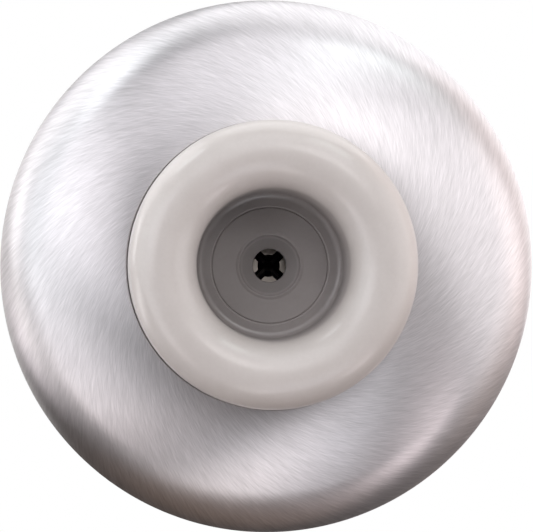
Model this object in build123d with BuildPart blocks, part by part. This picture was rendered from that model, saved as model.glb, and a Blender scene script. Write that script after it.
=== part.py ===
from build123d import *
import os
from math import sin, cos, tan, atan2, radians, degrees

# Concave wall door stop: a satin stainless dome with a ring-shaped rubber bumper,
# a pressed backing plate behind them, one countersunk mounting screw and the
# plastic anchor that the screw draws up in the wall.
#
# Frame: millimetres. The wall is the plane Y = 0 and the stop stands out of it
# towards -Y, so the front looks along -Y. +Z is up the wall, +X is to the right
# seen from the front. The stop's axis is the Y axis. In the profiles below,
# x is the radius and y is minus the projection from the wall.

os.makedirs("parts", exist_ok=True)

# ---------------------------------------------------------------- dimensions
# whole stop
DOME_R = 31.75          # outside radius of the dome, 2-1/2 in diameter
PROJECTION = 25.4       # crest of the rubber above the wall, 1 in

# drawn dome
SHEET = 1.2             # stainless sheet thickness
SKIRT = 4.6             # height of the straight skirt
WALL_CORNER = 1.6       # outside bend where the skirt turns into the hem
HEM_IN_R = 27.8         # inner radius of the crimped hem
EDGE_R = 16.80          # radius of the hole that the rubber stands in
EDGE_BREAK = 0.12       # rounding on the outside of the punched edge
FACE_END_R = 26.5       # where the face runs into the round shoulder
SLOPE_IN = 8.2          # face slope at the hole, degrees
SLOPE_OUT = 27.5        # face slope at the shoulder, degrees
FACE_CURVE = 0.88       # how the slope grows between the two

# rubber bumper
RUBBER_R = 16.70        # outside radius of the ring, 0.1 mm inside the hole
THROAT_R = 8.85         # radius of the cup at its throat
CUP_FOOT_R = 8.60       # foot of the cup's nearly straight wall
FOOT_FILLET = 1.0
GROOVE_R = 6.85         # fine moulded groove in the cup's floor
GROOVE_HALF = 0.15
GROOVE_DEPTH = 0.12
FLOOR_D = 12.8          # cup floor above the wall
FUNNEL_R = 3.70         # rim of the funnel that leads the driver in
FUNNEL_DEPTH = 1.15     # from the cup floor down to the driver hole
DRIVER_HOLE_R = 1.95    # driver hole, smaller than the screw's head
POCKET_R = 4.75         # pocket that keeps the head captive
POCKET_DEPTH = 1.1
FLANGE_R = 20.2         # base flange held under the dome

# backing plate
PLATE_T = 1.2
PLATFORM_D = 9.9        # front of the raised platform
PLATFORM_R = 20.6
PLATE_FOOT_R = 24.4     # where the pan's wall meets the flange
PLATE_R = 30.35         # outer radius of the flange
SCREW_CLEAR_R = 2.35    # hole in the bottom of the countersunk dimple

# mounting screw, No. 8 x 1-1/2 in, 82 degree flat head, cross recess No. 2
HEAD_R = 4.20
HEAD_LAND = 0.30
HEAD_TOP_D = 9.80
HEAD_HALF_ANGLE = 41.0
SCREW_LENGTH = 38.1
THREAD_R = 2.083        # No. 8 major radius
ROOT_R = 1.50
NECK_R = 1.72
PITCH = 1.411           # 18 threads per inch
RECESS_SPAN = 4.70      # tip to tip of the wings
RECESS_WING = 1.12      # wing width at the top of the head
RECESS_CORE_R = 1.33
RECESS_DEPTH = 2.35
RECESS_TURN = 45.0      # the wings stand on the diagonals
SEAT_GAP = 0.05         # running gap between the head and its seat

# wall anchor
ANCHOR_R = 3.175        # plug for a 1/4 in drilled hole
ANCHOR_LENGTH = 25.4
COLLAR_R = 4.40
COLLAR_T = 0.90
PLUG_LENGTH = 6.0       # plain cylindrical stretch behind the wall face
BARB_PITCH = 2.2
BARBS = 8
SPLIT_W = 0.8
THREAD_GAP = 0.07       # the formed thread's gap to the screw


# ---------------------------------------------------------------- dome face
SHOULDER_R = (DOME_R - FACE_END_R) / (1 - sin(radians(SLOPE_OUT)))
SHOULDER_CX = DOME_R - SHOULDER_R
FACE_END_D = SKIRT + SHOULDER_R * cos(radians(SLOPE_OUT))


def face_slope(r):
    t = max(0.0, (r - EDGE_R) / (FACE_END_R - EDGE_R))
    return radians(SLOPE_IN + (SLOPE_OUT - SLOPE_IN) * t**FACE_CURVE)


def face_height(r, steps=400):
    """Projection of the dome's outer face at radius r."""
    h = (FACE_END_R - r) / steps
    total = 0.0
    for i in range(steps):
        total += tan(face_slope(r + (i + 0.5) * h)) * h
    return FACE_END_D + total


def under_face(r_outer, depth):
    """Point at a depth under the outer face, measured square to it."""
    a = face_slope(r_outer)
    return (r_outer - depth * sin(a), -(face_height(r_outer) - depth * cos(a)))


def under_face_at(r, depth):
    """The same, at a given radius of the inner curve."""
    ro = r
    for _ in range(30):
        ro = r + depth * sin(face_slope(ro))
    return under_face(ro, depth)


N_FACE = 9
OUTER_R = [EDGE_R + (FACE_END_R - EDGE_R) * i / (N_FACE - 1) for i in range(N_FACE)]
OUTER = [(r, -face_height(r)) for r in OUTER_R]
INNER_RO = EDGE_R
for _ in range(30):
    INNER_RO = EDGE_R + SHEET * sin(face_slope(INNER_RO))
INNER = [
    under_face(INNER_RO + (FACE_END_R - INNER_RO) * i / (N_FACE - 1), SHEET)
    for i in range(N_FACE)
]
EDGE_D = face_height(EDGE_R)


# ---------------------------------------------------------------- dome_shell
# Drawn and satin-finished stainless dome. Its back edge is turned in under the
# backing plate as a flat hem, and the hem is what lies on the wall.
with BuildPart() as dome_shell:
    with BuildSketch(Plane.XY) as dome_profile:
        with BuildLine() as dome_line:
            face = Spline(
                *OUTER,
                tangents=[
                    (cos(face_slope(EDGE_R)), sin(face_slope(EDGE_R))),
                    (cos(radians(SLOPE_OUT)), sin(radians(SLOPE_OUT))),
                ],
            )
            mid = radians((SLOPE_OUT + 90) / 2)
            shoulder = ThreePointArc(
                OUTER[-1],
                (SHOULDER_CX + SHOULDER_R * sin(mid), -(SKIRT + SHOULDER_R * cos(mid))),
                (DOME_R, -SKIRT),
            )
            skirt_out = Line((DOME_R, -SKIRT), (DOME_R, -WALL_CORNER))
            corner_out = ThreePointArc(
                (DOME_R, -WALL_CORNER),
                (
                    DOME_R - WALL_CORNER * (1 - cos(radians(45))),
                    -WALL_CORNER * (1 - sin(radians(45))),
                ),
                (DOME_R - WALL_CORNER, 0),
            )
            hem_back = Line((DOME_R - WALL_CORNER, 0), (HEM_IN_R, 0))
            hem_edge = Line((HEM_IN_R, 0), (HEM_IN_R, -SHEET))
            hem_front = Line((HEM_IN_R, -SHEET), (DOME_R - WALL_CORNER, -SHEET))
            ci = WALL_CORNER - SHEET
            corner_in = ThreePointArc(
                (DOME_R - WALL_CORNER, -SHEET),
                (
                    DOME_R - WALL_CORNER + ci * sin(radians(45)),
                    -WALL_CORNER + ci * cos(radians(45)),
                ),
                (DOME_R - SHEET, -WALL_CORNER),
            )
            skirt_in = Line((DOME_R - SHEET, -WALL_CORNER), (DOME_R - SHEET, -SKIRT))
            ri = SHOULDER_R - SHEET
            shoulder_in = ThreePointArc(
                (DOME_R - SHEET, -SKIRT),
                (SHOULDER_CX + ri * sin(mid), -(SKIRT + ri * cos(mid))),
                INNER[-1],
            )
            under = Spline(
                *reversed(INNER),
                tangents=[
                    (-cos(radians(SLOPE_OUT)), -sin(radians(SLOPE_OUT))),
                    (-cos(face_slope(INNER_RO)), -sin(face_slope(INNER_RO))),
                ],
            )
            cut_edge = Line(INNER[0], OUTER[0])
        make_face()
        # the punched edge is broken on the outside, the hem's edge on both sides
        fillet(dome_profile.vertices().sort_by(SortBy.DISTANCE).group_by(
            lambda v: round(abs(v.X - EDGE_R) + abs(v.Y + EDGE_D), 3))[0], EDGE_BREAK)
        fillet(dome_profile.vertices().filter_by(
            lambda v: abs(v.X - HEM_IN_R) < 1e-3), 0.3)
    revolve(axis=Axis.Y)
dome_shell.part.label = "dome_shell"
export_step(dome_shell.part, "parts/dome_shell.step")


# ---------------------------------------------------------------- rubber_bumper
# One moulding: a full-round ring, a nearly straight cup inside it with a flat,
# grooved floor and a funnel for the driver, and a base flange that the dome holds down on the plate.
RING_r = (RUBBER_R - THROAT_R) / 2
RING_R = (RUBBER_R + THROAT_R) / 2
RING_D = PROJECTION - RING_r
FLANGE_GAP = 0.05
flange_pts = [
    under_face_at(RUBBER_R + 0.02 + (FLANGE_R - 0.5 - RUBBER_R) * i / 4, SHEET + FLANGE_GAP)
    for i in range(5)
]
with BuildPart() as rubber_bumper:
    with BuildSketch(Plane.XY) as rubber_profile:
        with BuildLine() as rubber_line:
            Line((DRIVER_HOLE_R, -(PLATFORM_D + POCKET_DEPTH)), (DRIVER_HOLE_R, -(FLOOR_D - FUNNEL_DEPTH)))
            Line((DRIVER_HOLE_R, -(FLOOR_D - FUNNEL_DEPTH)), (FUNNEL_R, -(FLOOR_D - 0.12)))
            Line((FUNNEL_R, -(FLOOR_D - 0.12)), (FUNNEL_R + 0.45, -(FLOOR_D - 0.12)))
            Polyline(
                (FUNNEL_R + 0.45, -(FLOOR_D - 0.12)),
                (GROOVE_R - GROOVE_HALF, -FLOOR_D),
                (GROOVE_R, -(FLOOR_D - GROOVE_DEPTH)),
                (GROOVE_R + GROOVE_HALF, -FLOOR_D),
                (CUP_FOOT_R, -FLOOR_D),
                (THROAT_R, -RING_D),
            )
            ThreePointArc((THROAT_R, -RING_D), (RING_R, -PROJECTION), (RUBBER_R, -RING_D))
            Line((RUBBER_R, -RING_D), flange_pts[0])
            Spline(*flange_pts)
            flange_end = flange_pts[-1]
            ThreePointArc(
                flange_end,
                (FLANGE_R - 0.14, flange_end[1] + 0.22),
                (FLANGE_R, flange_end[1] + 0.62),
            )
            Line((FLANGE_R, flange_end[1] + 0.62), (FLANGE_R, -PLATFORM_D - 0.4))
            Line((FLANGE_R, -PLATFORM_D - 0.4), (FLANGE_R - 0.4, -PLATFORM_D))
            Line((FLANGE_R - 0.4, -PLATFORM_D), (POCKET_R, -PLATFORM_D))
            Line((POCKET_R, -PLATFORM_D), (POCKET_R, -(PLATFORM_D + POCKET_DEPTH)))
            Line((POCKET_R, -(PLATFORM_D + POCKET_DEPTH)), (DRIVER_HOLE_R, -(PLATFORM_D + POCKET_DEPTH)))
        make_face()
        fillet(rubber_profile.vertices().filter_by(
            lambda v: abs(v.X - CUP_FOOT_R) < 1e-3 and v.Y < -12), FOOT_FILLET)
        fillet(rubber_profile.vertices().filter_by(
            lambda v: abs(v.X - FUNNEL_R) < 1e-3), 0.35)
    revolve(axis=Axis.Y)
rubber_bumper.part.label = "rubber_bumper"
export_step(rubber_bumper.part, "parts/rubber_bumper.step")


# ---------------------------------------------------------------- backing_plate
# Pressed steel pan. The flange lies on the dome's hem, the platform carries the
# rubber, and the dimple in the middle is the countersunk seat of the screw.
ha = radians(HEAD_HALF_ANGLE)
head_cone_d = HEAD_TOP_D - HEAD_LAND           # where the head's cone starts
gap_r = SEAT_GAP / cos(ha)                     # radial gap that gives SEAT_GAP square to the cone
seat_top_r = HEAD_R + gap_r + (PLATFORM_D - head_cone_d) * tan(ha)
seat_bottom_d = PLATFORM_D - (seat_top_r - SCREW_CLEAR_R) / tan(ha)
tx = PLATE_T * cos(ha)                         # dimple wall, measured along the radius
ty = PLATE_T * sin(ha)
with BuildPart() as backing_plate:
    with BuildSketch(Plane.XY) as plate_profile:
        with BuildLine() as plate_line:
            Polyline(
                (SCREW_CLEAR_R, -seat_bottom_d),
                (seat_top_r, -PLATFORM_D),
                (PLATFORM_R, -PLATFORM_D),
                (PLATE_FOOT_R, -(SHEET + PLATE_T)),
                (PLATE_R, -(SHEET + PLATE_T)),
                (PLATE_R, -SHEET),
                (PLATE_FOOT_R - 0.72, -SHEET),
                (PLATFORM_R - 0.72, -(PLATFORM_D - PLATE_T)),
                (seat_top_r + 0.98, -(PLATFORM_D - PLATE_T)),
                (SCREW_CLEAR_R + 0.98, -(seat_bottom_d - ty)),
                (SCREW_CLEAR_R, -(seat_bottom_d - ty)),
                close=True,
            )
        make_face()
        fillet(plate_profile.vertices().filter_by(
            lambda v: abs(v.X - PLATFORM_R) < 1e-3), 1.9)
        fillet(plate_profile.vertices().filter_by(
            lambda v: abs(v.X - (PLATFORM_R - 0.72)) < 1e-3), 0.7)
        fillet(plate_profile.vertices().filter_by(
            lambda v: abs(v.X - PLATE_FOOT_R) < 1e-3), 0.7)
        fillet(plate_profile.vertices().filter_by(
            lambda v: abs(v.X - (PLATE_FOOT_R - 0.72)) < 1e-3), 1.9)
        fillet(plate_profile.vertices().filter_by(
            lambda v: abs(v.X - seat_top_r) < 1e-3), 0.5)
        fillet(plate_profile.vertices().filter_by(
            lambda v: abs(v.X - PLATE_R) < 1e-3), 0.25)
    revolve(axis=Axis.Y)
backing_plate.part.label = "backing_plate"
export_step(backing_plate.part, "parts/backing_plate.step")


# ---------------------------------------------------------------- mounting_screw
TIP_Y = SCREW_LENGTH - HEAD_TOP_D              # tip of the screw behind the wall face
THREAD_START = -5.2
POINT_START = TIP_Y - 3.6


def helix_edge(y0, turns, r0, r1):
    """Right-hand helix about the Y axis whose radius goes from r0 to r1."""
    height = PITCH * turns
    with BuildLine() as line:
        Helix(
            pitch=PITCH,
            height=height,
            radius=r0,
            center=(0, y0, 0),
            direction=(0, 1, 0),
            cone_angle=degrees(atan2(r1 - r0, height)),
        )
    return line.line.edges()[0]


def thread_tooth(y0, turns, root, crest, half_root, half_crest):
    """Solid V tooth that winds round the Y axis. root, crest and the half widths
    are (start, end) pairs, so that a tooth can run out or follow the point."""
    edges = [
        helix_edge(y0 - half_root, turns, *root),
        helix_edge(y0 - half_crest, turns, *crest),
        helix_edge(y0 + half_crest, turns, *crest),
        helix_edge(y0 + half_root, turns, *root),
    ]
    faces = [Face.make_surface_from_curves(edges[i], edges[(i + 1) % 4]) for i in range(4)]
    for end in (0, 1):
        faces.append(Face(Wire.make_polygon([e @ end for e in edges], close=True)))
    return Solid(Shell(faces))


TOOTH_DEEP = 0.12                              # how far the tooth is sunk in the shank
CREST_HALF = 0.07
FLANK = 0.46                                   # axial run of a flank per millimetre of depth
ROOT_HALF = CREST_HALF + FLANK * (THREAD_R - ROOT_R + TOOTH_DEEP)
LEAD_TURNS = 0.75
POINT_TURNS = 2.25
MAIN_TURNS = (POINT_START - THREAD_START) / PITCH
SUNK = (ROOT_R - TOOTH_DEEP, ROOT_R - TOOTH_DEEP)
FULL = (THREAD_R, THREAD_R)
lead_tooth = thread_tooth(THREAD_START - LEAD_TURNS * PITCH, LEAD_TURNS, SUNK,
                          (ROOT_R - 0.05, THREAD_R), ROOT_HALF, CREST_HALF)
main_tooth = thread_tooth(THREAD_START, MAIN_TURNS, SUNK, FULL, ROOT_HALF, CREST_HALF)
point_tooth = thread_tooth(POINT_START, POINT_TURNS, (ROOT_R - TOOTH_DEEP, 0.10),
                           (THREAD_R, 0.50), ROOT_HALF, CREST_HALF)

with BuildPart() as mounting_screw:
    # shank and point
    with BuildSketch(Plane.XY):
        with BuildLine():
            Polyline(
                (0, -(HEAD_TOP_D)),
                (HEAD_R, -HEAD_TOP_D),
                (HEAD_R, -head_cone_d),
                (NECK_R, -(head_cone_d - (HEAD_R - NECK_R) / tan(ha))),
                (NECK_R, THREAD_START + 0.4),
                (ROOT_R, THREAD_START + 1.0),
                (ROOT_R, POINT_START),
                (0.18, TIP_Y),
                (0, TIP_Y),
                close=True,
            )
        make_face()
    revolve(axis=Axis.Y)
    # rolled thread: it grows out of the neck and follows the point
    add(lead_tooth)
    add(main_tooth)
    add(point_tooth)
    # cross recess
    for k in range(2):
        with BuildSketch(Plane(origin=(0, -HEAD_TOP_D, 0), x_dir=(1, 0, 0), z_dir=(0, 1, 0))):
            with Locations(Rotation(0, 0, RECESS_TURN + 90 * k)):
                Rectangle(RECESS_SPAN, RECESS_WING)
        extrude(amount=RECESS_DEPTH, taper=9.5, mode=Mode.SUBTRACT)
    with BuildSketch(Plane.XY):
        with BuildLine():
            Polyline(
                (0, -HEAD_TOP_D - 0.01),
                (RECESS_CORE_R, -HEAD_TOP_D - 0.01),
                (0.62, -(HEAD_TOP_D - RECESS_DEPTH)),
                (0, -(HEAD_TOP_D - RECESS_DEPTH - 0.35)),
                close=True,
            )
        make_face()
    revolve(axis=Axis.Y, mode=Mode.SUBTRACT)
mounting_screw.part.label = "mounting_screw"
export_step(mounting_screw.part, "parts/mounting_screw.step")


# ---------------------------------------------------------------- wall_anchor
# Ribbed plastic anchor with a thin collar on the wall face, split at the far end.
# Its bore carries the thread that the screw forms in it, THREAD_GAP larger all round.
flank_gap = THREAD_GAP * (1 + FLANK**2) ** 0.5
FORMED_TURNS = 22
FORMED_START = THREAD_START + PITCH            # a whole turn on, so the two are in mesh
formed_thread = thread_tooth(
    FORMED_START,
    FORMED_TURNS,
    SUNK,
    (THREAD_R + THREAD_GAP, THREAD_R + THREAD_GAP),
    ROOT_HALF + flank_gap,
    CREST_HALF + flank_gap - FLANK * THREAD_GAP,
)
with BuildPart() as wall_anchor:
    with BuildSketch(Plane.XY):
        with BuildLine():
            pts = [(0, -COLLAR_T), (COLLAR_R - 0.3, -COLLAR_T), (COLLAR_R, -COLLAR_T + 0.3),
                   (COLLAR_R, 0), (ANCHOR_R, 0), (ANCHOR_R, PLUG_LENGTH)]
            y = PLUG_LENGTH
            for k in range(BARBS):
                valley = 2.80 - 0.012 * k
                crest = ANCHOR_R - 0.02 - 0.018 * k
                pts += [(valley, y + 0.25), (valley, y + 0.75), (crest, y + BARB_PITCH - 0.45),
                        (crest, y + BARB_PITCH - 0.05)]
                y += BARB_PITCH
            pts += [(2.72, y + 0.15), (2.62, ANCHOR_LENGTH - 0.4), (2.45, ANCHOR_LENGTH), (0, ANCHOR_LENGTH)]
            Polyline(*pts, close=True)
        make_face()
    revolve(axis=Axis.Y)
    # bore with the formed thread
    with BuildSketch(Plane(origin=(0, -COLLAR_T - 1, 0), x_dir=(1, 0, 0), z_dir=(0, 1, 0))):
        Circle(ROOT_R + THREAD_GAP)
    extrude(amount=ANCHOR_LENGTH + COLLAR_T + 2, mode=Mode.SUBTRACT)
    add(formed_thread, mode=Mode.SUBTRACT)
    # split that lets the far end spread
    with BuildSketch(Plane(origin=(0, 9.5, 0), x_dir=(1, 0, 0), z_dir=(0, 1, 0))):
        Rectangle(SPLIT_W, 12)
    extrude(amount=ANCHOR_LENGTH, mode=Mode.SUBTRACT)
wall_anchor.part.label = "wall_anchor"
export_step(wall_anchor.part, "parts/wall_anchor.step")

print("edge d %.2f  face end d %.2f  shoulder r %.2f  ring r %.2f at d %.2f"
      % (EDGE_D, FACE_END_D, SHOULDER_R, RING_r, RING_D))
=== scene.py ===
import bpy
import bmesh
import math
import numpy as np
from mathutils import Vector, Matrix


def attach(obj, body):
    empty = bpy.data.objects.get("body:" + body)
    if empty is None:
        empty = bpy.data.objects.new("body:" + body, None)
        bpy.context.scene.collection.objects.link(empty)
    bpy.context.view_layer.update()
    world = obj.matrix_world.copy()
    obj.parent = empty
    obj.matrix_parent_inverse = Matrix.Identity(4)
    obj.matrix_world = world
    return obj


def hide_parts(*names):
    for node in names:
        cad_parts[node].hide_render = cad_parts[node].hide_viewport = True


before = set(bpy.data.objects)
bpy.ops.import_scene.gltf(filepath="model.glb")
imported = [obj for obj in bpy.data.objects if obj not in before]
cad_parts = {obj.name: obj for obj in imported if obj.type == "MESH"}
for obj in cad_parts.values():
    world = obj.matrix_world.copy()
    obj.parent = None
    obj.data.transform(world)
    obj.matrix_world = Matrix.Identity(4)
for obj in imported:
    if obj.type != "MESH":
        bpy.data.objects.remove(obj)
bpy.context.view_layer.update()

rad = math.radians
MM = 0.001

# ------------------------------------------------------------------ dimensions
# The same profile as the CAD part, in millimetres: r from the axis, d out of the wall.
DOME_R, PROJ = 31.75, 25.4
SHEET, SKIRT, WALL_CORNER, HEM_IN_R = 1.2, 4.6, 1.6, 27.8
EDGE_R, FACE_END_R = 16.80, 26.5
SLOPE_IN, SLOPE_OUT, FACE_CURVE = 8.2, 27.5, 0.88
RUBBER_R, THROAT_R = 16.70, 8.85
CUP_FOOT_R, FOOT_FILLET, GROOVE_R, FLOOR_D = 8.60, 1.0, 6.85, 12.8
FUNNEL_R, FUNNEL_DEPTH, HOLE_R = 3.70, 1.15, 1.95
POCKET_R, POCKET_DEPTH, PLATFORM_D, FLANGE_R = 4.75, 1.1, 9.9, 20.2

SHOULDER_R = (DOME_R - FACE_END_R) / (1 - math.sin(rad(SLOPE_OUT)))
SHOULDER_CX = DOME_R - SHOULDER_R
FACE_END_D = SKIRT + SHOULDER_R * math.cos(rad(SLOPE_OUT))


def face_slope(r):
    t = max(0.0, (r - EDGE_R) / (FACE_END_R - EDGE_R))
    return rad(SLOPE_IN + (SLOPE_OUT - SLOPE_IN) * t**FACE_CURVE)


_rs = np.linspace(EDGE_R - 0.5, FACE_END_R, 2001)
_sl = np.array([math.tan(face_slope(r)) for r in _rs])
_step = _rs[1] - _rs[0]
_hs = FACE_END_D + np.concatenate([np.cumsum((0.5 * (_sl[1:] + _sl[:-1]) * _step)[::-1])[::-1], [0.0]])


def face_height(r):
    return float(np.interp(r, _rs, _hs))


def under_face(ro, depth):
    a = face_slope(ro)
    return (ro - depth * math.sin(a), face_height(ro) - depth * math.cos(a))


def under_face_at(r, depth):
    ro = r
    for _ in range(30):
        ro = r + depth * math.sin(face_slope(ro))
    return under_face(ro, depth)


# ------------------------------------------------------------------ mesh helpers
def arc(cx, cd, r, a0, a1, n):
    """Points of an arc in the (r, d) plane, angles in degrees from +r towards +d."""
    return [
        (cx + r * math.cos(rad(a0 + (a1 - a0) * i / n)), cd + r * math.sin(rad(a0 + (a1 - a0) * i / n)))
        for i in range(n + 1)
    ]


def line(p, q, n):
    return [(p[0] + (q[0] - p[0]) * i / n, p[1] + (q[1] - p[1]) * i / n) for i in range(n + 1)]


def rounded(pts, radii, n=5):
    """A closed polyline with each corner rounded; a radius of 0 leaves a corner as it is."""
    out = []
    m = len(pts)
    for i in range(m):
        p0, p1, p2 = Vector(pts[i - 1]), Vector(pts[i]), Vector(pts[(i + 1) % m])
        r = radii[i]
        if r <= 0:
            out.append(tuple(p1))
            continue
        u, v = (p0 - p1).normalized(), (p2 - p1).normalized()
        half = math.acos(max(-1, min(1, u.dot(v)))) / 2
        t = r / math.tan(half)
        t = min(t, 0.49 * (p0 - p1).length, 0.49 * (p2 - p1).length)
        rr = t * math.tan(half)
        c = p1 + (u + v).normalized() * (rr / math.sin(half))
        a, b = p1 + u * t, p1 + v * t
        a0 = math.atan2(a[1] - c[1], a[0] - c[0])
        a1 = math.atan2(b[1] - c[1], b[0] - c[0])
        da = (a1 - a0 + math.pi) % (2 * math.pi) - math.pi
        for k in range(n + 1):
            out.append((c[0] + rr * math.cos(a0 + da * k / n), c[1] + rr * math.sin(a0 + da * k / n)))
    return out


def clean(pts, eps=1e-4):
    out = [pts[0]]
    for p in pts[1:]:
        if (p[0] - out[-1][0]) ** 2 + (p[1] - out[-1][1]) ** 2 > eps * eps:
            out.append(p)
    if (out[0][0] - out[-1][0]) ** 2 + (out[0][1] - out[-1][1]) ** 2 <= eps * eps:
        out.pop()
    return out


def supported(pts, gap=0.06, long=0.5):
    """Adds points close to both ends of each long span, so that smooth shading stays true beside tight bends."""
    out = []
    m = len(pts)
    for i in range(m):
        p, q = Vector(pts[i]), Vector(pts[(i + 1) % m])
        out.append(tuple(p))
        ln = (q - p).length
        if ln > long:
            out.append(tuple(p + (q - p) * (gap / ln)))
            out.append(tuple(q - (q - p) * (gap / ln)))
    return out


def revolve(name, profile, segments, wobble=None):
    """A closed (r, d) profile in mm, turned about the Y axis into a closed mesh in metres."""
    bm = bmesh.new()
    rings = []
    for (r, d) in profile:
        ring = []
        for k in range(segments):
            t = 2 * math.pi * k / segments
            rr, dd = (r, d) if wobble is None else wobble(r, d, t)
            ring.append(bm.verts.new((rr * math.sin(t) * MM, -dd * MM, rr * math.cos(t) * MM)))
        rings.append(ring)
    m = len(rings)
    for i in range(m):
        a, b = rings[i], rings[(i + 1) % m]
        for k in range(segments):
            k2 = (k + 1) % segments
            bm.faces.new((a[k], a[k2], b[k2], b[k]))
    bmesh.ops.recalc_face_normals(bm, faces=bm.faces)
    for f in bm.faces:
        f.smooth = True
    me = bpy.data.meshes.new(name)
    bm.to_mesh(me)
    bm.free()
    ob = bpy.data.objects.new(name, me)
    bpy.context.scene.collection.objects.link(ob)
    return ob


# ------------------------------------------------------------------ dome
def dome_profile():
    pts = []
    br = 0.12                                     # broken outer edge of the punched hole
    a0 = face_slope(EDGE_R)
    # rounded edge: from the cut edge up on to the face
    top = (EDGE_R, face_height(EDGE_R))
    cut_bottom = under_face_at(EDGE_R, SHEET)
    start = (EDGE_R + br * 0.92, face_height(EDGE_R + br * 0.92))
    c = (EDGE_R + br, face_height(EDGE_R + br * 0.92) - br)
    for i in range(7):
        a = rad(180 - i * (90 - math.degrees(a0)) / 6)
        pts.append((c[0] + br * math.cos(a), c[1] + br * math.sin(a)))
    for r in np.linspace(EDGE_R + br * 1.5, FACE_END_R, 60):
        pts.append((float(r), face_height(float(r))))
    # shoulder
    for i in range(1, 41):
        a = rad(SLOPE_OUT + (90 - SLOPE_OUT) * i / 40)
        pts.append((SHOULDER_CX + SHOULDER_R * math.sin(a), SKIRT + SHOULDER_R * math.cos(a)))
    pts += line((DOME_R, SKIRT), (DOME_R, WALL_CORNER), 6)[1:]
    pts += arc(DOME_R - WALL_CORNER, WALL_CORNER, WALL_CORNER, 0, -90, 10)[1:]
    pts += line((DOME_R - WALL_CORNER, 0), (HEM_IN_R + 0.3, 0), 4)[1:]
    pts += arc(HEM_IN_R + 0.3, 0.3, 0.3, -90, -180, 5)[1:]
    pts += line((HEM_IN_R, 0.3), (HEM_IN_R, SHEET - 0.3), 2)[1:]
    pts += arc(HEM_IN_R + 0.3, SHEET - 0.3, 0.3, 180, 90, 5)[1:]
    pts += line((HEM_IN_R + 0.3, SHEET), (DOME_R - WALL_CORNER, SHEET), 4)[1:]
    pts += arc(DOME_R - WALL_CORNER, WALL_CORNER, WALL_CORNER - SHEET, -90, 0, 5)[1:]
    pts += line((DOME_R - SHEET, WALL_CORNER), (DOME_R - SHEET, SKIRT), 4)[1:]
    for i in range(1, 25):
        a = rad(90 - (90 - SLOPE_OUT) * i / 24)
        ri = SHOULDER_R - SHEET
        pts.append((SHOULDER_CX + ri * math.sin(a), SKIRT + ri * math.cos(a)))
    ro_in = EDGE_R
    for _ in range(30):
        ro_in = EDGE_R + SHEET * math.sin(face_slope(ro_in))
    for r in np.linspace(FACE_END_R, ro_in, 24)[1:]:
        pts.append(under_face(float(r), SHEET))
    return clean(pts)


dome = revolve("dome_satin", dome_profile(), 288)
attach(dome, "stop_body")
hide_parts("dome_shell")


# ------------------------------------------------------------------ rubber
RING_r = (RUBBER_R - THROAT_R) / 2
RING_C = (RUBBER_R + THROAT_R) / 2
RING_D = PROJ - RING_r


def rubber_profile():
    under = PLATFORM_D
    flange = [under_face_at(RUBBER_R + 0.02 + (FLANGE_R - 0.5 - RUBBER_R) * i / 8, SHEET + 0.05) for i in range(9)]
    fe = flange[-1]
    pts, rr = [], []

    def add(p, r=0.0):
        pts.append(p)
        rr.append(r)

    add((HOLE_R, under + POCKET_DEPTH), 0.15)
    add((HOLE_R, FLOOR_D - FUNNEL_DEPTH), 0.2)
    # a small bead round the funnel, then the floor with its fine groove
    add((FUNNEL_R - 0.30, FLOOR_D - 0.34), 0.12)
    add((FUNNEL_R - 0.08, FLOOR_D + 0.02), 0.12)
    add((FUNNEL_R + 0.28, FLOOR_D - 0.12), 0.15)
    add((GROOVE_R - 0.15, FLOOR_D), 0.04)
    add((GROOVE_R, FLOOR_D - 0.12), 0.03)
    add((GROOVE_R + 0.15, FLOOR_D), 0.04)
    add((CUP_FOOT_R, FLOOR_D), FOOT_FILLET)
    add((THROAT_R, RING_D), 0.0)
    ring = arc(RING_C, RING_D, RING_r, 180, 0, 72)[1:]
    for p in ring:
        add(p, 0.0)
    for p in flange:
        add(p, 0.0)
    add((FLANGE_R, fe[1] - 0.05), 0.3)
    add((FLANGE_R, under), 0.4)
    add((POCKET_R, under), 0.15)
    add((POCKET_R, under + POCKET_DEPTH), 0.15)
    return clean(rounded(pts, rr, 6))


rubber = revolve("bumper_ring", supported(rubber_profile()), 240)
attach(rubber, "stop_body")
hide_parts("rubber_bumper")


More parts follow.
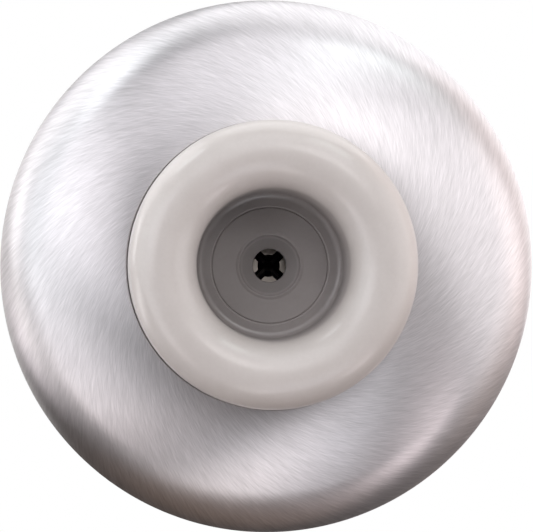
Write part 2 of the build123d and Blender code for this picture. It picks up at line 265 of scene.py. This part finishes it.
# ------------------------------------------------------------------ node helpers
class Nodes:
    """Short hand for building a node tree."""

    def __init__(self, mat):
        mat.use_nodes = True
        self.t = mat.node_tree
        self.t.nodes.clear()

    def new(self, kind, **kw):
        n = self.t.nodes.new(kind)
        for k, v in kw.items():
            setattr(n, k, v)
        return n

    def link(self, a, b):
        self.t.links.new(a, b)

    def put(self, sock, v):
        if hasattr(v, "is_output"):
            self.link(v, sock)
        elif v is not None:
            sock.default_value = v

    def math(self, op, a, b=None, c=None, clamp=False):
        n = self.new("ShaderNodeMath", operation=op, use_clamp=clamp)
        for i, v in enumerate((a, b, c)):
            if v is not None:
                self.put(n.inputs[i], v)
        return n.outputs[0]

    def vec(self, x, y, z):
        n = self.new("ShaderNodeCombineXYZ")
        for i, v in enumerate((x, y, z)):
            self.put(n.inputs[i], v)
        return n.outputs[0]

    def noise(self, vector, scale, detail=2.0, rough=0.5, dist=0.0, out=0):
        n = self.new("ShaderNodeTexNoise")
        n.inputs["Scale"].default_value = scale
        n.inputs["Detail"].default_value = detail
        n.inputs["Roughness"].default_value = rough
        n.inputs["Distortion"].default_value = dist
        if vector is not None:
            self.link(vector, n.inputs["Vector"])
        return n.outputs[out]

    def ramp(self, fac, stops, interp="LINEAR"):
        n = self.new("ShaderNodeValToRGB")
        n.color_ramp.interpolation = interp
        while len(n.color_ramp.elements) < len(stops):
            n.color_ramp.elements.new(0.5)
        for e, (p, c) in zip(n.color_ramp.elements, stops):
            e.position = p
            e.color = (*c, 1) if len(c) == 3 else c
        self.put(n.inputs[0], fac)
        return n.outputs[0]

    def mapr(self, v, a, b, c, d, clamp=True):
        n = self.new("ShaderNodeMapRange", clamp=clamp)
        self.put(n.inputs[0], v)
        for i, x in enumerate((a, b, c, d)):
            n.inputs[i + 1].default_value = x
        return n.outputs[0]

    def mix(self, fac, a, b, blend="MIX"):
        n = self.new("ShaderNodeMix", data_type="RGBA", blend_type=blend)
        self.put(n.inputs["Factor"], fac)
        self.put(n.inputs[6], a)
        self.put(n.inputs[7], b)
        return n.outputs[2]

    def bump(self, height, strength, distance, normal=None):
        n = self.new("ShaderNodeBump")
        n.inputs["Strength"].default_value = strength
        n.inputs["Distance"].default_value = distance
        self.put(n.inputs["Height"], height)
        if normal is not None:
            self.link(normal, n.inputs["Normal"])
        return n.outputs[0]

    def principled(self, **kw):
        n = self.new("ShaderNodeBsdfPrincipled")
        for k, v in kw.items():
            self.put(n.inputs[k.replace("_", " ")], v)
        o = self.new("ShaderNodeOutputMaterial")
        self.link(n.outputs[0], o.inputs[0])
        return n


def grey(v, a=1.0):
    return (v, v, v, a)


# ------------------------------------------------------------------ materials
BRUSH_DEG = 42.0          # how far the brush lines turn in from the circle
ALONG, ACROSS = 0.12, 0.29


def satin_material():
    m = bpy.data.materials.new("satin_stainless_brushed")
    N = Nodes(m)
    co = N.new("ShaderNodeTexCoord").outputs["Object"]
    sep = N.new("ShaderNodeSeparateXYZ")
    N.link(co, sep.inputs[0])
    x, y, z = sep.outputs
    r2 = N.math("ADD", N.math("MULTIPLY", x, x), N.math("MULTIPLY", z, z))
    r = N.math("SQRT", N.math("MAXIMUM", r2, 1e-10))
    rmm = N.math("MULTIPLY", r, 1000.0)
    theta = N.math("ARCTAN2", z, x)
    lnr = N.math("LOGARITHM", N.math("MAXIMUM", rmm, 1.0), math.e)

    def brushed(deg, k, s, seed, detail=2.0, rough=0.6):
        # an angle that stays the same along a brush line, so the noise has no seam
        tp = N.math("ADD", theta, N.math("MULTIPLY", lnr, -1.0 / math.tan(rad(deg))))
        v = N.vec(
            N.math("MULTIPLY", N.math("COSINE", tp), k),
            N.math("MULTIPLY", N.math("SINE", tp), k),
            N.math("ADD", N.math("MULTIPLY", rmm, s), seed),
        )
        return N.noise(v, 1.0, detail, rough)

    fine = brushed(BRUSH_DEG, 105.0, 0.62, 3.1, 3.0, 0.65)
    crossed = brushed(BRUSH_DEG - 13.0, 70.0, 0.50, 17.0, 2.0, 0.6)
    broad = brushed(BRUSH_DEG + 6.0, 34.0, 0.30, 41.0, 2.0, 0.6)
    cloud = N.noise(co, 95.0, 2.0, 0.5)
    height = N.math("ADD", N.math("MULTIPLY", fine, 0.6), N.math("MULTIPLY", crossed, 0.4))
    rough_v = N.math("ADD", N.math("MULTIPLY", broad, 0.5), N.math("MULTIPLY", cloud, 0.5))
    base = N.ramp(
        N.math("ADD", N.math("MULTIPLY", fine, 0.6), N.math("MULTIPLY", crossed, 0.4)),
        [(0.30, (0.445, 0.428, 0.434)), (0.70, (0.651, 0.626, 0.635))],
    )
    b = N.bump(height, 0.22, 0.00002)
    rms = math.sqrt(math.sqrt(ALONG * ACROSS))
    p = N.principled(
        Base_Color=base,
        Metallic=1.0,
        Roughness=N.mapr(rough_v, 0.3, 0.7, rms * 0.94, rms * 1.06),
        Normal=b,
    )
    p.inputs["Anisotropic"].default_value = (1 - ALONG / ACROSS) / 0.9
    p.inputs["Anisotropic Rotation"].default_value = BRUSH_SIGN * (90.0 - BRUSH_DEG) / 360.0 % 1.0
    t = N.new("ShaderNodeTangent", direction_type="RADIAL", axis="Y")
    N.link(t.outputs[0], p.inputs["Tangent"])
    return m


BRUSH_SIGN = 1.0
dome.data.materials.append(satin_material())


def rubber_material():
    m = bpy.data.materials.new("bumper_rubber")
    N = Nodes(m)
    co = N.new("ShaderNodeTexCoord").outputs["Object"]
    sep = N.new("ShaderNodeSeparateXYZ")
    N.link(co, sep.inputs[0])
    x, y, z = sep.outputs
    rmm = N.math("MULTIPLY", N.math("SQRT", N.math("ADD", N.math("MULTIPLY", x, x), N.math("MULTIPLY", z, z))), 1000.0)
    mott = N.noise(co, 420.0, 3.0, 0.5)
    fine = N.noise(co, 2600.0, 2.0, 0.5)
    tone = N.math("ADD", N.math("MULTIPLY", mott, 0.6), N.math("MULTIPLY", fine, 0.4))
    ring = N.ramp(tone, [(0.30, (0.455, 0.418, 0.396)), (0.70, (0.485, 0.448, 0.426))])
    # painted shade: the cup and funnel tones are the ring rubber darkened where the cup lies in shade
    cup_painted_shade = N.ramp(tone, [(0.30, (0.272, 0.248, 0.240)), (0.70, (0.294, 0.270, 0.262))])
    funnel = N.ramp(tone, [(0.30, (0.205, 0.187, 0.181)), (0.70, (0.225, 0.207, 0.201))])
    inner_painted_shade = N.mix(N.mapr(rmm, 3.15, 3.40, 0.0, 1.0), funnel, cup_painted_shade)
    # painted shade: the rubber colour darkens with depth down the cup wall and on to the floor, darkest in the funnel
    # round the hole
    out = N.math("MULTIPLY", y, -1000.0)
    wall = N.mapr(out, FLOOR_D + 1.5, RING_D + 1.2, 0.0, 1.0)
    outer = N.mapr(rmm, THROAT_R + 0.5, THROAT_R + 1.5, 0.0, 1.0)
    base = N.mix(N.math("MAXIMUM", wall, outer), inner_painted_shade, ring)
    b = N.bump(fine, 0.05, 0.00003)
    p = N.principled(Base_Color=base, Roughness=N.mapr(mott, 0.3, 0.7, 0.36, 0.42), Normal=b)
    p.inputs["Specular IOR Level"].default_value = 0.5
    p.inputs["Coat Weight"].default_value = 0.25
    p.inputs["Coat Roughness"].default_value = 0.12
    return m


rubber.data.materials.append(rubber_material())


def zinc_material(name, tint, rough):
    m = bpy.data.materials.new(name)
    N = Nodes(m)
    co = N.new("ShaderNodeTexCoord").outputs["Object"]
    spangle = N.noise(co, 700.0, 2.0, 0.6)
    fine = N.noise(co, 6000.0, 2.0, 0.5)
    base = N.ramp(spangle, [(0.3, tuple(c * 0.94 for c in tint)), (0.7, tint)])
    b = N.bump(fine, 0.05, 0.00001)
    N.principled(Base_Color=base, Metallic=1.0, Roughness=N.mapr(spangle, 0.3, 0.7, rough * 0.95, rough * 1.05), Normal=b)
    return m


def screw_material():
    """Zinc plate that has gone dull and warm; painted shade makes the driver recess dark inside."""
    m = bpy.data.materials.new("zinc_screw_plate")
    N = Nodes(m)
    co = N.new("ShaderNodeTexCoord").outputs["Object"]
    sep = N.new("ShaderNodeSeparateXYZ")
    N.link(co, sep.inputs[0])
    x, y, z = sep.outputs
    rmm = N.math("MULTIPLY", N.math("SQRT", N.math("ADD", N.math("MULTIPLY", x, x), N.math("MULTIPLY", z, z))), 1000.0)
    ymm = N.math("MULTIPLY", y, 1000.0)
    spangle = N.noise(co, 700.0, 2.0, 0.6)
    fine = N.noise(co, 6000.0, 2.0, 0.5)
    plate = N.ramp(spangle, [(0.3, (0.47, 0.42, 0.37)), (0.7, (0.56, 0.51, 0.46))])
    recess_painted_shade = N.ramp(spangle, [(0.3, (0.012, 0.011, 0.010)), (0.7, (0.024, 0.021, 0.019))])
    # painted shade inside the recess: below the top of the head and well inside its cone
    cone = N.math("SUBTRACT", 3.95, N.math("MULTIPLY", N.math("ADD", ymm, 9.5), 0.869))
    inside = N.math("LESS_THAN", rmm, N.math("MINIMUM", cone, 2.45))
    below = N.math("GREATER_THAN", ymm, -9.74)
    above = N.math("LESS_THAN", ymm, -7.0)
    recess = N.math("MULTIPLY", N.math("MULTIPLY", inside, below), above)
    b = N.bump(fine, 0.10, 0.00002)
    N.principled(Base_Color=N.mix(recess, plate, recess_painted_shade), Metallic=1.0,
                 Roughness=N.mapr(spangle, 0.3, 0.7, 0.30, 0.40), Normal=b)
    return m


def plastic_material():
    m = bpy.data.materials.new("anchor_nylon")
    N = Nodes(m)
    co = N.new("ShaderNodeTexCoord").outputs["Object"]
    flow = N.noise(co, 380.0, 3.0, 0.5)
    fine = N.noise(co, 4200.0, 2.0, 0.5)
    base = N.ramp(flow, [(0.3, (0.56, 0.56, 0.53)), (0.7, (0.64, 0.64, 0.61))])
    b = N.bump(fine, 0.08, 0.00002)
    N.principled(Base_Color=base, Roughness=N.mapr(flow, 0.3, 0.7, 0.40, 0.50), Normal=b)
    return m


def dress(node, mat):
    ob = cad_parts[node]
    me = ob.data
    if len(me.materials) == 0:
        me.materials.append(mat)
    for i in range(len(ob.material_slots)):
        ob.material_slots[i].material = mat


dress("backing_plate", zinc_material("zinc_pressing", (0.66, 0.67, 0.68), 0.30))
dress("mounting_screw", screw_material())
dress("wall_anchor", plastic_material())


# ------------------------------------------------------------------ camera
scene = bpy.context.scene
scene.view_settings.view_transform = "Standard"
scene.view_settings.look = "None"
W, H = 533, 532
CAM_D = 0.45
SIDE, LOW = rad(2.69), rad(0.56)
AIM = Vector((0, -SKIRT * MM, 0))
dirv = Vector((-math.sin(SIDE), -1.0, -math.sin(LOW))).normalized()
cam_data = bpy.data.cameras.new("camera")
cam = bpy.data.objects.new("camera", cam_data)
scene.collection.objects.link(cam)
cam.location = AIM + dirv * CAM_D
cam.rotation_mode = "QUATERNION"
cam.rotation_quaternion = (-dirv).to_track_quat("-Z", "Y")
cam_data.sensor_width = 36.0
F_PX = 265.76 / (31.75 * MM) * CAM_D
cam_data.lens = F_PX / W * 36.0
cam_data.shift_x = (W / 2 - 266.57) / W
cam_data.shift_y = (266.16 - H / 2) / W
cam_data.clip_start, cam_data.clip_end = 0.01, 10.0
scene.camera = cam


# ------------------------------------------------------------------ stage
def floor():
    bm = bmesh.new()
    bmesh.ops.create_circle(bm, cap_ends=True, segments=128, radius=0.30)
    me = bpy.data.meshes.new("stage_floor")
    bm.to_mesh(me)
    bm.free()
    ob = bpy.data.objects.new("stage_floor", me)
    scene.collection.objects.link(ob)
    ob.location = (0, 0, -0.062)
    m = bpy.data.materials.new("stage_pale")
    N = Nodes(m)
    co = N.new("ShaderNodeTexCoord").outputs["Object"]
    n = N.noise(co, 6.0, 2.0, 0.5)
    N.principled(Base_Color=N.ramp(n, [(0.3, (0.80, 0.80, 0.80)), (0.7, (0.84, 0.84, 0.84))]), Roughness=0.8)
    me.materials.append(m)
    ob.visible_glossy = False
    ob.visible_diffuse = False
    ob.visible_shadow = False
    return ob


floor()

# ------------------------------------------------------------------ light
# Each light: name, screen direction (degrees, clockwise from the right as the camera sees it),
# angle off the view axis, half size as seen from the stop, radiance, colour.
LIGHTS = [
    ("soft_42_277", 277.1, 42.0, 30.0, 1.712, (0.965, 0.964, 1.000)),
    ("soft_70_191", 191.0, 70.0, 22.0, 1.821, (0.904, 0.969, 1.000)),
    ("soft_70_353", 353.0, 70.0, 30.0, 1.767, (1.000, 0.978, 0.996)),
    ("soft_70_299", 299.0, 70.0, 9.0, 4.937, (0.902, 1.000, 0.987)),
    ("soft_56_135", 135.2, 56.0, 9.0, 2.282, (1.000, 0.904, 0.887)),
    ("soft_28_300", 299.6, 28.0, 9.0, 3.809, (1.000, 0.967, 0.951)),
    ("soft_112_340", 340.4, 112.0, 30.0, 1.261, (1.000, 0.870, 0.845)),
    ("soft_112_160", 160.4, 112.0, 9.0, 3.550, (1.000, 0.946, 0.975)),
    ("soft_56_95", 95.2, 56.0, 9.0, 3.731, (1.000, 0.924, 0.901)),
    ("soft_56_155", 155.2, 56.0, 15.0, 2.354, (0.984, 0.967, 1.000)),
    ("soft_42_71", 71.4, 42.0, 15.0, 2.235, (0.929, 0.942, 1.000)),
    ("soft_112_190", 190.4, 112.0, 9.0, 5.334, (0.988, 0.987, 1.000)),
    ("soft_112_280", 280.4, 112.0, 30.0, 2.194, (0.972, 0.980, 1.000)),
    ("soft_112_220", 220.4, 112.0, 22.0, 2.403, (0.972, 0.982, 1.000)),
    ("soft_98_167", 166.6, 98.0, 9.0, 3.907, (1.000, 0.979, 0.968)),
    ("soft_70_47", 47.0, 70.0, 9.0, 4.742, (1.000, 0.894, 0.917)),
    ("soft_42_200", 200.0, 42.0, 15.0, 3.450, (0.969, 0.957, 1.000)),
    ("soft_84_233", 232.8, 84.0, 9.0, 6.667, (0.922, 0.979, 1.000)),
    # warm light from low on the right and from below
    ("warm_low", 95.0, 98.0, 30.0, 0.150, (1.000, 0.640, 0.420)),
    ("warm_right", 15.0, 98.0, 22.0, 0.315, (1.000, 0.700, 0.560)),
    # behind the stop, for the back of the plate and the anchor; the stop hides them from its own front
    ("back_fill_left", 180.0, 150.0, 20.0, 1.100, (1.000, 0.985, 0.970)),
    ("back_fill_right", 330.0, 150.0, 20.0, 1.500, (0.985, 0.990, 1.000)),
]
LIGHT_D = 0.9


def area(name, screen, off, half, radiance, colour):
    s, o = rad(screen), rad(off)
    d = Vector((math.cos(s) * math.sin(o), -math.cos(o), -math.sin(s) * math.sin(o)))
    size = 2 * LIGHT_D * math.tan(rad(half))
    data = bpy.data.lights.new(name, "AREA")
    data.shape = "DISK"
    data.size = size
    data.color = colour
    # radiance L over a disk: power = L * pi * area, and Blender's area light power gives L = P / (pi * A)
    data.energy = radiance * math.pi * math.pi * (size / 2) ** 2
    ob = bpy.data.objects.new(name, data)
    ob.location = d * LIGHT_D
    ob.rotation_mode = "QUATERNION"
    ob.rotation_quaternion = d.to_track_quat("Z", "Y")
    ob.visible_camera = False
    scene.collection.objects.link(ob)
    return ob


for entry in LIGHTS:
    area(*entry)

world = bpy.data.worlds.new("world")
scene.world = world
world.use_nodes = True
wt = world.node_tree
wt.nodes.clear()
wo = wt.nodes.new("ShaderNodeOutputWorld")
mixs = wt.nodes.new("ShaderNodeMixShader")
lp = wt.nodes.new("ShaderNodeLightPath")
bg_light = wt.nodes.new("ShaderNodeBackground")
bg_white = wt.nodes.new("ShaderNodeBackground")
bg_light.inputs[0].default_value = (1.0, 0.93, 0.88, 1)
bg_light.inputs[1].default_value = 0.03
bg_white.inputs[0].default_value = (1, 1, 1, 1)
bg_white.inputs[1].default_value = 1.0
wt.links.new(lp.outputs["Is Camera Ray"], mixs.inputs[0])
wt.links.new(bg_light.outputs[0], mixs.inputs[1])
wt.links.new(bg_white.outputs[0], mixs.inputs[2])
wt.links.new(mixs.outputs[0], wo.inputs[0])
